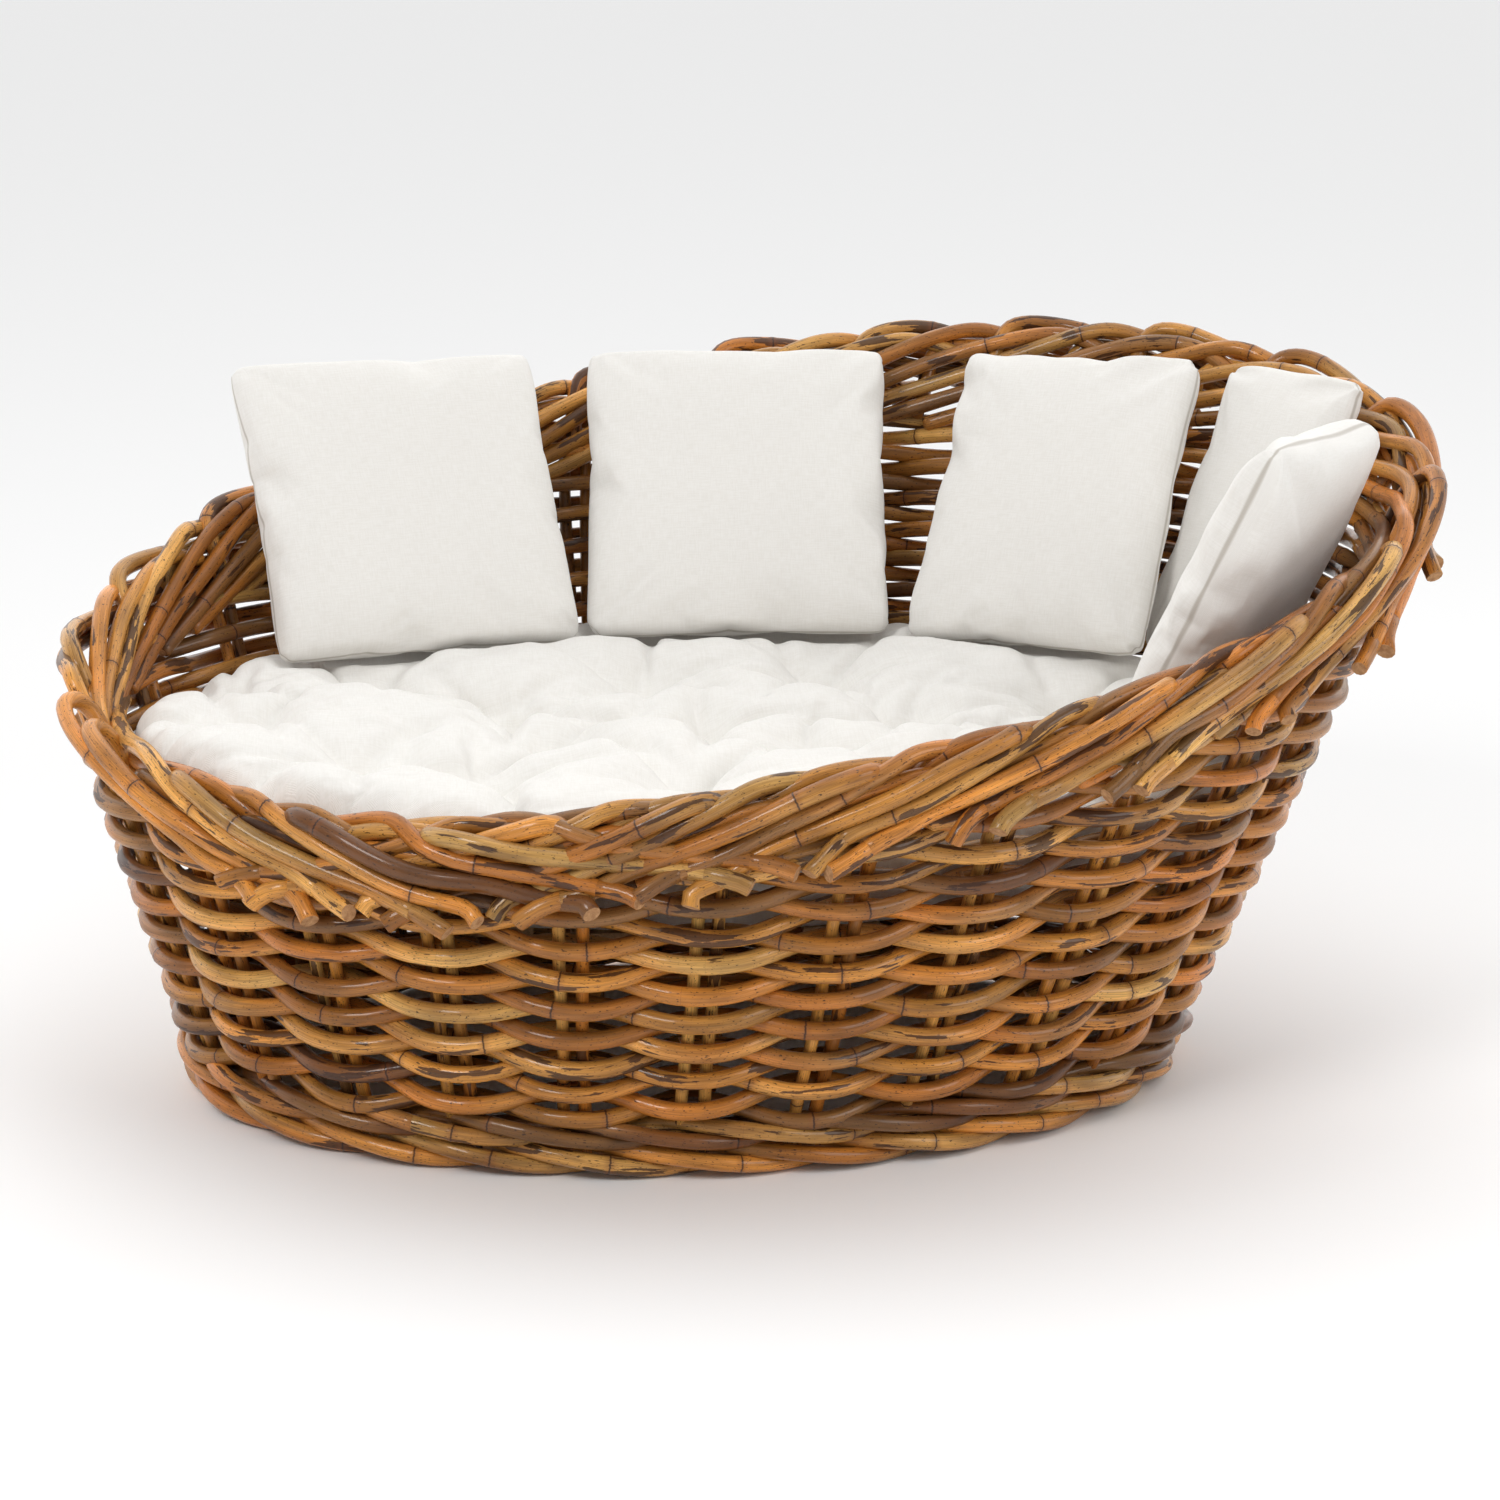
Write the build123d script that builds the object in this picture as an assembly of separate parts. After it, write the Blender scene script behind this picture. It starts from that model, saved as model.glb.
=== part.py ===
"""Oval rattan pet bed: a woven basket with a sloping rim, a seat frame, a mattress and five loose pillows.

Millimetres, +Z up, +X along the oval's long axis, the low entrance side faces -Y. The origin is
at the bottom centre of the whole bed's bounding box, on the surface that the bed stands on.
"""
from build123d import *
import math
import os

# --- Driving dimensions: the wall -------------------------------------------------------------
BASE_HALF_X = 386.0        # half axes of the oval that the stakes stand on, at floor level
BASE_HALF_Y = 243.0
FLARE_X = 0.36             # how much each half axis grows per mm of height
FLARE_Y = 0.335
LEAN_X = 0.067             # how far the oval's centre drifts to +X per mm of height
BASE_CENTRE = (-53.0, -29.0)   # where the floor-level oval's centre lies in the part's frame

# The rim lies in a sloping plane: height = RIM_HEIGHT + RIM_RISE_X * x + RIM_RISE_Y * y,
# with x and y measured from the floor-level oval's centre.
RIM_HEIGHT = 420.5
RIM_RISE_X = 0.143
RIM_RISE_Y = 0.2188
RIM_STEPS = 40             # repeats that settle where the flared wall meets the sloping plane

# --- Stakes and weavers -----------------------------------------------------------------------
STAKE_PAIRS = 24
FIRST_PAIR = 0.8           # the first pair's place, in pair pitches from the +X end
STAKE_RADIUS = 5.5
PAIR_SPREAD = 17.0         # between the two rods of a pair, centre to centre
STAKE_FOOT = 17.5          # height of the stakes' lower ends, on the foot hoop

WEAVER_RADIUS = 5.8
WEAVER_OFFSET = 14.4       # a weaver's centre passes this far in front of or behind the stakes
WEAVER_FLAT = 26.0         # length of the straight pass over a pair of stakes
WEAVER_PITCH = 13.2
FIRST_WEAVER = 54.8        # height of the lowest weaver
BORDER_DEPTH = 60.0        # the plaited border hides the top of the wall down to here
ARC_SHARE = 0.46           # share of a straight run that the arc at each of its ends takes up
LEAST_TURN = 1.0           # degrees; a smaller bend in a path is left straight
SMALL_ANGLE = 0.001        # radians, for finding the direction of the oval's outline

# --- Foot -------------------------------------------------------------------------------------
FOOT_HOOP_RADIUS = 8.5
FOOT_HOOP_HEIGHT = 7.5     # centre height; below zero the hoop is worn flat
WALE_RADIUS = 7.0
WALE_HEIGHTS = (25.2, 40.6)
WALE_OFFSET = 15.8

# --- Border -----------------------------------------------------------------------------------
BORDER_ROD_RADIUS = 7.2
BORDER_LEVELS = 3
BORDER_TOP_DEPTH = 8.0     # first level's centre, below the rim plane
BORDER_PITCH = 19.0
BORDER_OUTSET = 14.5       # centre of the outer rod, outward of the stakes' line
BORDER_INSET = 10.5        # centre of the inner rod, inward of it
BORDER_CORNERS = 30        # arcs in one turn of a border rod

END_RADIUS = 6.2           # cut ends of the bent-down stakes
END_LENGTH = 24.0
END_GAP = 3.2              # left between a cut end and the border rods
END_DEPTHS = (36.0, 74.0)  # below the rim plane, for the two ends of a pair
END_SPACING = 34.0         # between the two ends of a pair, along the border
END_DROOP = 20.0           # degrees below the horizontal

# --- Seat -------------------------------------------------------------------------------------
SEAT_HOOP_RADIUS = 9.0
SEAT_HOOP_HEIGHT = 165.0
SEAT_HOOP_INSET = 35.0     # inward of the stakes' line
BEARER_RADIUS = 9.0
BEARER_ROWS = (-150.0, 0.0, 150.0)
SLAT_COUNT = 9
SLAT_PITCH = 88.0
SLAT_WIDTH = 60.0
SLAT_THICKNESS = 8.0
SLAT_ROUND = 2.5
SEAT_GAP = 1.2             # left between hoop, bearers and slats
SEAT_CLEARANCE = 34.0      # seat parts stay this far inward of the stakes' line

# --- Mattress ---------------------------------------------------------------------------------
MATTRESS_BOTTOM = 205.0
MATTRESS_TOP = 300.0
MATTRESS_BOTTOM_HALF_X = 430.0
MATTRESS_TOP_HALF_X = 468.0
MATTRESS_ASPECT = 0.668    # half axis along Y over half axis along X
MATTRESS_ROUND = 32.0
COVER_THICKNESS = 2.0
FILLING_GAP = 1.0

# --- Pillows: facing angle, lean, roll in degrees; middle x, y; width, height, thickness -------
PILLOWS = {
    1: dict(turn=-19, lean=34, roll=-2, at=(-219, 239), size=(272, 272, 68)),
    2: dict(turn=4, lean=34, roll=0, at=(71, 281), size=(268, 272, 68)),
    3: dict(turn=36, lean=33, roll=4, at=(333, 196), size=(224, 272, 62)),
    4: dict(turn=64, lean=24, roll=4, at=(487.5, 101.5), size=(166, 262, 39)),
    5: dict(turn=124, lean=24, roll=5, at=(440, -120), size=(244, 262, 66)),
}
PILLOW_REST = 303.0        # height of a pillow's lowest point
PILLOW_ROUND = 0.45        # edge radius as a share of the thickness


def wall_point(angle, height, outset=0.0):
    """Point on the stakes' line at an angle of the oval, moved out along the oval's normal."""
    half_x = BASE_HALF_X + FLARE_X * height
    half_y = BASE_HALF_Y + FLARE_Y * height
    nx, ny = math.cos(angle) / half_x, math.sin(angle) / half_y
    length = math.hypot(nx, ny)
    x = LEAN_X * height + half_x * math.cos(angle) + outset * nx / length
    y = half_y * math.sin(angle) + outset * ny / length
    return x, y


def rim_height(x, y, depth=0.0):
    """Height of the plane that lies a given depth below the rim plane."""
    slope = math.sqrt(1 + RIM_RISE_X**2 + RIM_RISE_Y**2)
    return RIM_HEIGHT + RIM_RISE_X * x + RIM_RISE_Y * y - depth * slope


def rim_point(angle, depth, outset):
    """Point of the sloping wall that lies in the plane a given depth below the rim."""
    z = RIM_HEIGHT
    for _ in range(RIM_STEPS):
        x, y = wall_point(angle, z, outset)
        z = rim_height(x, y, depth)
    return x, y, z


def even_angles(count, start, height=200.0, steps=7200):
    """Angles of the oval that divide its outline at a height into equal lengths."""
    angles = [2 * math.pi * i / steps for i in range(steps + 1)]
    points = [wall_point(a, height) for a in angles]
    along = [0.0]
    for p, q in zip(points, points[1:]):
        along.append(along[-1] + math.dist(p, q))
    found = []
    for k in range(count):
        target = along[-1] * ((k + start) % count) / count
        j = 0
        while along[j + 1] < target:
            j += 1
        share = (target - along[j]) / (along[j + 1] - along[j])
        found.append(angles[j] + share * (angles[j + 1] - angles[j]))
    return found


PAIR_ANGLES = even_angles(STAKE_PAIRS, FIRST_PAIR)


def turn_at(p, q, r):
    """Angle by which a path in the plane turns at q."""
    turn = math.atan2(r[1] - q[1], r[0] - q[0]) - math.atan2(q[1] - p[1], q[0] - p[0])
    return (turn + math.pi) % (2 * math.pi) - math.pi


def rounded_path(points, closed, height):
    """Straight runs joined by the largest tangent arcs that fit, at one height."""
    count = len(points)
    kept, radii = [], []
    for i, q in enumerate(points):
        if not closed and i in (0, count - 1):
            kept.append(q)
            continue
        p, r = points[i - 1], points[(i + 1) % count]
        turn = abs(turn_at(p, q, r))
        if turn < math.radians(LEAST_TURN):
            continue
        kept.append(q)
        radii.append(ARC_SHARE * min(math.dist(p, q), math.dist(q, r)) / math.tan(turn / 2))
    corners = [(x, y, height) for x, y in kept]
    return FilletPolyline(*corners, radius=radii, close=closed)


def rod(path, radius):
    """A round rod along a path."""
    return sweep(Plane(origin=path @ 0, z_dir=path % 0) * Circle(radius), path=path)


def weaver_points(height, over_first, offset, pairs):
    """Corners of a rod that passes over one pair of stakes and behind the next."""
    points = []
    for i in pairs:
        side = 1 if (i % 2 == 0) == over_first else -1
        middle = wall_point(PAIR_ANGLES[i], height, side * offset)
        ahead = wall_point(PAIR_ANGLES[i] + SMALL_ANGLE, height)
        here = wall_point(PAIR_ANGLES[i], height)
        tx, ty = ahead[0] - here[0], ahead[1] - here[1]
        length = math.hypot(tx, ty)
        for step in (-WEAVER_FLAT / 2, WEAVER_FLAT / 2):
            points.append((middle[0] + step * tx / length, middle[1] + step * ty / length))
    return points


def weaver(height, over_first, radius=WEAVER_RADIUS, offset=WEAVER_OFFSET):
    """One woven course: a closed ring, or an open arc where the sloping border cuts it off."""
    below = []
    for i, angle in enumerate(PAIR_ANGLES):
        _, _, top = rim_point(angle, BORDER_DEPTH + radius, 0.0)
        below.append(height < top)
    if all(below):
        pairs, closed = list(range(STAKE_PAIRS)), True
    else:
        first = next(i for i in range(STAKE_PAIRS) if below[i] and not below[i - 1])
        run = [(first + k) % STAKE_PAIRS for k in range(STAKE_PAIRS)]
        pairs, closed = [i for i in run if below[i]], False
    points = weaver_points(height, over_first, offset, pairs)
    return rod(rounded_path(points, closed, height), radius)


def stake(angle, side):
    """One straight stake of a pair, from the foot hoop to the underside of the border."""
    ahead, here = wall_point(angle + SMALL_ANGLE, 0.0), wall_point(angle, 0.0)
    tx, ty = ahead[0] - here[0], ahead[1] - here[1]
    shift = side * PAIR_SPREAD / 2 / math.hypot(tx, ty)
    x0, y0 = wall_point(angle, STAKE_FOOT)
    x1, y1, z1 = rim_point(angle, BORDER_DEPTH, 0.0)
    foot = Vector(x0 + shift * tx, y0 + shift * ty, STAKE_FOOT)
    head = Vector(x1 + shift * tx, y1 + shift * ty, z1)
    axis = head - foot
    return Plane(origin=foot, z_dir=axis) * Cylinder(
        STAKE_RADIUS, axis.length, align=(Align.CENTER, Align.CENTER, Align.MIN)
    )


def stake_groups():
    """The stakes of each side of the oval: every pair goes to the side it stands on."""
    groups = {"right": [], "back": [], "left": [], "front": []}
    names = list(groups)
    for k, angle in enumerate(sorted(a % (2 * math.pi) for a in PAIR_ANGLES)):
        quarter = int(((k + STAKE_PAIRS / 8) % STAKE_PAIRS) / (STAKE_PAIRS / 4))
        groups[names[quarter]] += [stake(angle, -1), stake(angle, 1)]
    return groups


def foot_hoop():
    """The hoop that the basket stands on, worn flat along its underside."""
    ring = [wall_point(a, FOOT_HOOP_HEIGHT) for a in even_angles(BORDER_CORNERS, 0.5)]
    path = rounded_path(ring, True, FOOT_HOOP_HEIGHT)
    worn = FOOT_HOOP_RADIUS - FOOT_HOOP_HEIGHT
    cut = Pos(-FOOT_HOOP_RADIUS + worn / 2, 0) * Rectangle(worn, 2 * FOOT_HOOP_RADIUS)
    section = Circle(FOOT_HOOP_RADIUS) - cut
    return sweep(Plane(origin=path @ 0, x_dir=(0, 0, 1), z_dir=path % 0) * section, path=path)


def border_rod(depth, outset):
    """One rod of the border, a ring that lies in a plane parallel to the rim."""
    corners = [Vector(*rim_point(a, depth, outset)) for a in even_angles(BORDER_CORNERS, 0.5)]
    normal = Vector(-RIM_RISE_X, -RIM_RISE_Y, 1)
    plane = Plane(origin=corners[0], x_dir=corners[1] - corners[0], z_dir=normal)
    flat = [plane.to_local_coords(c) for c in corners]
    path = rounded_path([(c.X, c.Y) for c in flat], True, 0.0)
    return plane * rod(path, BORDER_ROD_RADIUS)


def border_end(angle, depth, shift):
    """The cut end of a bent-down stake, standing out of the border's outer face."""
    x, y, z = rim_point(angle, depth, BORDER_OUTSET + BORDER_ROD_RADIUS + END_GAP)
    out = Vector(*wall_point(angle, z, 1.0)) - Vector(*wall_point(angle, z))
    along = Vector(-out.Y, out.X)
    droop = math.radians(END_DROOP)
    axis = Vector(out.X * math.cos(droop), out.Y * math.cos(droop), -math.sin(droop))
    start = Vector(x, y, z) + along * shift
    return Plane(origin=start, z_dir=axis) * Cylinder(
        END_RADIUS, END_LENGTH, align=(Align.CENTER, Align.CENTER, Align.MIN)
    )


def border_ends():
    """Two cut ends for each pair of stakes, at two depths."""
    ends = []
    for angle in PAIR_ANGLES:
        for depth, side in zip(END_DEPTHS, (-1, 1)):
            ends.append(border_end(angle, depth, side * END_SPACING / 2))
    return ends


def seat_half_axes(height):
    """Half axes of the space inside the weave at a height, and its centre's x."""
    half_x = BASE_HALF_X + FLARE_X * height - SEAT_CLEARANCE
    half_y = BASE_HALF_Y + FLARE_Y * height - SEAT_CLEARANCE
    return half_x, half_y, LEAN_X * height


def seat_hoop():
    """The hoop tied inside the stakes that carries the seat."""
    angles = even_angles(BORDER_CORNERS, 0.5)
    ring = [wall_point(a, SEAT_HOOP_HEIGHT, -SEAT_HOOP_INSET) for a in angles]
    return rod(rounded_path(ring, True, SEAT_HOOP_HEIGHT), SEAT_HOOP_RADIUS)


def seat_bearers():
    """Three poles that lie across the hoop, along the bed."""
    height = SEAT_HOOP_HEIGHT + SEAT_HOOP_RADIUS + SEAT_GAP + BEARER_RADIUS
    half_x, half_y, centre = seat_half_axes(height - BEARER_RADIUS)
    bearers = []
    for y in BEARER_ROWS:
        reach = half_x * math.sqrt(1 - ((abs(y) + BEARER_RADIUS) / half_y) ** 2)
        pole = Cylinder(BEARER_RADIUS, 2 * reach, rotation=(0, 90, 0))
        bearers.append(Pos(centre, y, height) * pole)
    return bearers


def seat_slats():
    """The slats that the mattress lies on, across the bed."""
    bottom = SEAT_HOOP_HEIGHT + SEAT_HOOP_RADIUS + 2 * SEAT_GAP + 2 * BEARER_RADIUS
    half_x, half_y, centre = seat_half_axes(bottom)
    slats = []
    for i in range(SLAT_COUNT):
        x = (i - (SLAT_COUNT - 1) / 2) * SLAT_PITCH
        reach = half_y * math.sqrt(1 - ((abs(x) + SLAT_WIDTH / 2) / half_x) ** 2)
        board = Box(SLAT_WIDTH, 2 * reach, SLAT_THICKNESS)
        board = fillet(board.edges().filter_by(Axis.Y), SLAT_ROUND)
        slats.append(Pos(centre + x, 0, bottom + SLAT_THICKNESS / 2) * board)
    return slats


def oval_pad(inset):
    """The mattress's outer shape, made smaller all round by an inset."""
    low, high = MATTRESS_BOTTOM + inset, MATTRESS_TOP - inset
    low_edge = (MATTRESS_BOTTOM_HALF_X - inset, low)
    high_edge = (MATTRESS_TOP_HALF_X - inset, high)
    profile = Polyline((0, low), low_edge, high_edge, (0, high), close=True)
    section = make_face(Plane.XZ * profile)
    corners = [v for v in section.vertices() if v.X > 1]
    section = fillet(corners, MATTRESS_ROUND - inset)
    pad = scale(revolve(section, Axis.Z), by=(1, MATTRESS_ASPECT, 1))
    middle = LEAN_X * (MATTRESS_BOTTOM + MATTRESS_TOP) / 2
    return Pos(middle, 0, 0) * pad


def rounded_box(size, inset):
    """A pillow's outer shape about its own middle, made smaller all round by an inset."""
    width, height, thickness = (s - 2 * inset for s in size)
    block = Box(width, thickness, height)
    return fillet(block.edges(), PILLOW_ROUND * size[2] - inset)


def pillow_plane(turn, lean, roll, at, size):
    """Plane of a pillow: X across it, Z up its slope, Y through it towards the wall."""
    turn, lean, roll = math.radians(turn), math.radians(lean), math.radians(roll)
    away = Vector(math.sin(turn), math.cos(turn), 0)
    level = Vector(math.cos(turn), -math.sin(turn), 0)
    slope = away * math.sin(lean) + Vector(0, 0, math.cos(lean))
    across = level * math.cos(roll) + slope * math.sin(roll)
    upward = slope * math.cos(roll) - level * math.sin(roll)
    return Plane(origin=(at[0], at[1], 0), x_dir=across, z_dir=upward)


def pillow(number, inset):
    """A pillow's outer shape where it rests, made smaller all round by an inset."""
    place = PILLOWS[number]
    plane = pillow_plane(**place)
    outer = plane * rounded_box(place["size"], 0.0)
    lift = PILLOW_REST - outer.bounding_box().min.Z
    return Pos(0, 0, lift) * (plane * rounded_box(place["size"], inset))


def build():
    """Every node's name with its list of solids, around the floor-level oval's centre."""
    nodes = {"foot_hoop": [foot_hoop()]}
    for k, height in enumerate(WALE_HEIGHTS):
        nodes[f"foot_wale_{k + 1}"] = [weaver(height, k % 2 == 0, WALE_RADIUS, WALE_OFFSET)]
    for side, rods in stake_groups().items():
        nodes[f"stakes_{side}"] = rods
    uphill = math.atan2(RIM_RISE_Y * BASE_HALF_Y, RIM_RISE_X * BASE_HALF_X)
    _, _, highest = rim_point(uphill, BORDER_DEPTH, 0.0)
    courses = int((highest - WEAVER_RADIUS - FIRST_WEAVER) / WEAVER_PITCH) + 1
    for k in range(courses):
        nodes[f"weaver_{k + 1:02d}"] = [weaver(FIRST_WEAVER + k * WEAVER_PITCH, k % 2 == 0)]
    for k in range(BORDER_LEVELS):
        depth = BORDER_TOP_DEPTH + k * BORDER_PITCH
        nodes[f"border_rods_{k + 1}"] = [border_rod(depth, BORDER_OUTSET), border_rod(depth, -BORDER_INSET)]
    nodes["border_ends"] = border_ends()
    nodes["seat_hoop"] = [seat_hoop()]
    nodes["seat_bearers"] = seat_bearers()
    nodes["seat_slats"] = seat_slats()
    nodes["mattress_cover"] = [oval_pad(0.0) - oval_pad(COVER_THICKNESS)]
    nodes["mattress_filling"] = [oval_pad(COVER_THICKNESS + FILLING_GAP)]
    for number in PILLOWS:
        cover = pillow(number, 0.0) - pillow(number, COVER_THICKNESS)
        nodes[f"pillow_{number}_cover"] = [cover]
        nodes[f"pillow_{number}_filling"] = [pillow(number, COVER_THICKNESS + FILLING_GAP)]
    return nodes


def main():
    os.makedirs("parts", exist_ok=True)
    for name, solids in build().items():
        placed = [Pos(*BASE_CENTRE, 0) * s for s in solids]
        shape = placed[0] if len(placed) == 1 else Compound(children=placed)
        export_step(shape, f"parts/{name}.step")


main()
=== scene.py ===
"""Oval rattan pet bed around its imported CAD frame: woven rods, plaited border, mattress and five pillows."""
import math

import bpy
import numpy as np
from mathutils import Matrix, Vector

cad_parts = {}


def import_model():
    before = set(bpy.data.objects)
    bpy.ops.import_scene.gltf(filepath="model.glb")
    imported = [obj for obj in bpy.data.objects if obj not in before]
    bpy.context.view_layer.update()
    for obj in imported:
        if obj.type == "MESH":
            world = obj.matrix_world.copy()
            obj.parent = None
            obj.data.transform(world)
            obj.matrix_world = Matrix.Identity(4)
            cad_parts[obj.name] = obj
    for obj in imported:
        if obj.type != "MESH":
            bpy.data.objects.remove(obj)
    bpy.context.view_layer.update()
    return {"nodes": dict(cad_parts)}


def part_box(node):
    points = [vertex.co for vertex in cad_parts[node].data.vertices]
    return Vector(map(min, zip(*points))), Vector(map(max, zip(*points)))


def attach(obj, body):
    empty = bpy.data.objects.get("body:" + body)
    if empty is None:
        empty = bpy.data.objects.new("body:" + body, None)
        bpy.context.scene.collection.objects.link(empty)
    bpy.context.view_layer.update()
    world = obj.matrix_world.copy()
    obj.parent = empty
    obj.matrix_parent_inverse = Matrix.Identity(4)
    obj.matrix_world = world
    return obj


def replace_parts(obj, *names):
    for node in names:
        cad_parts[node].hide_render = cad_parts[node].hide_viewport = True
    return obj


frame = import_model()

RNG = np.random.default_rng(20)
SIDES = ("right", "back", "left", "front")

# --- The wall's shape, in metres, as the CAD has it ---------------------------------------------
BASE_HALF = (0.386, 0.243)    # the oval's half axes at the floor
FLARE = (0.36, 0.335)         # how much they grow per metre of height
LEAN_X = 0.067                # how far the oval's centre drifts per metre of height
BASE_CENTRE = (-0.053, -0.029)
RIM_HEIGHT, RIM_RISE_X, RIM_RISE_Y = 0.4205, 0.143, 0.2188
RIM_SLOPE = math.sqrt(1 + RIM_RISE_X**2 + RIM_RISE_Y**2)
SAG_DEPTH, SAG_ANGLE, SAG_WIDTH = 0.021, 4.17, 0.44     # the rim's sag at the front left; angles in radians

PAIRS = 24                    # stake pairs; places round the oval are given in pair pitches
FIRST_PAIR = 0.8
ROW_PITCH = 0.0132
FIRST_ROW = 0.0548
ROWS = sum(name.startswith("weaver_") for name in frame["nodes"])
STAKE_FOOT = 0.0175


# --- Shape helpers ------------------------------------------------------------------------------
def wall(angle, z, out=0.0):
    """Points on the stakes' line, moved out along the oval's normal."""
    a, b = BASE_HALF[0] + FLARE[0] * z, BASE_HALF[1] + FLARE[1] * z
    nx, ny = np.cos(angle) / a, np.sin(angle) / b
    length = np.hypot(nx, ny)
    x = LEAN_X * z + a * np.cos(angle) + out * nx / length
    y = b * np.sin(angle) + out * ny / length
    return np.stack([x + BASE_CENTRE[0], y + BASE_CENTRE[1], z + 0 * x], -1)


def outward(angle, z):
    """Unit normals of the oval, level."""
    n = wall(angle, z, 1.0) - wall(angle, z)
    return n / np.linalg.norm(n, axis=-1, keepdims=True)


def rim_z(p, depth):
    """Height of the plane a given depth below the rim, above or below the points p."""
    x, y = p[..., 0] - BASE_CENTRE[0], p[..., 1] - BASE_CENTRE[1]
    return RIM_HEIGHT + RIM_RISE_X * x + RIM_RISE_Y * y - depth * RIM_SLOPE


def dip(angle):
    """How far the rim sags below its plane."""
    return SAG_DEPTH * np.exp(-(((np.mod(angle, 2 * math.pi) - SAG_ANGLE) / SAG_WIDTH) ** 2))


def rim(angle, depth, out):
    """Points of the sloping wall a given depth below the rim."""
    depth = depth + dip(angle)
    z = RIM_HEIGHT + 0 * (angle + depth)
    for _ in range(30):
        z = rim_z(wall(angle, z, out), depth)
    return wall(angle, z, out)


def run(points):
    """Distance along a line of points, from its first one."""
    return np.concatenate([[0], np.cumsum(np.linalg.norm(np.diff(points, axis=0), axis=1))])


TABLE = np.linspace(0, 2 * math.pi, 7201)
MID_HEIGHT = 0.2              # where the pairs are evenly spaced
ALONG = run(wall(TABLE, MID_HEIGHT + 0 * TABLE))
ALONG = ALONG / ALONG[-1] * PAIRS


def angle_at(s):
    """Angle of the oval, s pair pitches anticlockwise from its +X end."""
    turns = np.floor(s / PAIRS)
    return np.interp(s - turns * PAIRS, ALONG, TABLE) + turns * 2 * math.pi


def spline(points, per=14):
    """Cubic B-spline that starts and ends at the end points."""
    p = np.array(points, float)
    p = np.concatenate([[p[0]] * 2, p, [p[-1]] * 2])
    t = np.linspace(0, 1, per, endpoint=False)[:, None]
    b = [(1 - t) ** 3, 3 * t**3 - 6 * t**2 + 4, -3 * t**3 + 3 * t**2 + 3 * t + 1, t**3]
    out = [sum(b[k] * p[i + k] for k in range(4)) / 6 for i in range(len(p) - 3)]
    return np.concatenate(out + [[p[-1]]])


def waves(x, count, shortest, seed):
    """Smooth random waves of about unit height."""
    r = np.random.default_rng(seed)
    out = 0 * x
    for _ in range(count):
        out = out + np.sin(2 * math.pi * (x / (shortest * r.uniform(1, 3)) + r.uniform()))
    return out / math.sqrt(count)


def unit(vectors):
    return vectors / np.linalg.norm(vectors, axis=1, keepdims=True)


def link(name, data):
    """A new object in the scene."""
    ob = bpy.data.objects.new(name, data)
    bpy.context.scene.collection.objects.link(ob)
    return ob


# --- Rods ---------------------------------------------------------------------------------------
ROD_SIDES = 12
STEP = 0.006                  # ring spacing along a rod
ROUGHNESS, OVAL = 0.02, 0.025           # how uneven and how far from round a rod is
KNOT_START, KNOT_GAP, KNOT_STOP = (0.02, 0.16), (0.13, 0.27), 0.01
KNOT_RINGS, KNOT_CLEAR = (-0.0035, -0.001, 0.001, 0.0035), 0.0045
KNOT_RIDGE, KNOT_WIDTH = 0.05, 0.0022
NO_KNOT = 0.1                 # stored where no knot is near
CUT_SLANT = 0.35
CUT_BEVEL, CUT_LIP = 0.93, 0.0006       # an end that shows
TIP_BEVEL, TIP_LIP = 0.6, 0.003         # an end that is tucked away


def knots_along(length, r):
    """Places of a rod's knots, from its start."""
    knots, at = [], r.uniform(*KNOT_START)
    while at < length - KNOT_STOP:
        knots.append(at)
        at += r.uniform(*KNOT_GAP)
    return knots


def rings_along(length, knots):
    """Places of a rod's rings: evenly spaced, and close together at each knot."""
    places = set(np.round(np.linspace(0, length, max(3, int(length / STEP))), 6))
    for knot in knots:
        places = {s for s in places if abs(s - knot) > KNOT_CLEAR or s in (0.0, round(length, 6))}
        places |= {round(knot + d, 6) for d in KNOT_RINGS}
    return np.array(sorted(s for s in places if 0 <= s <= length + 1e-6))


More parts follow.
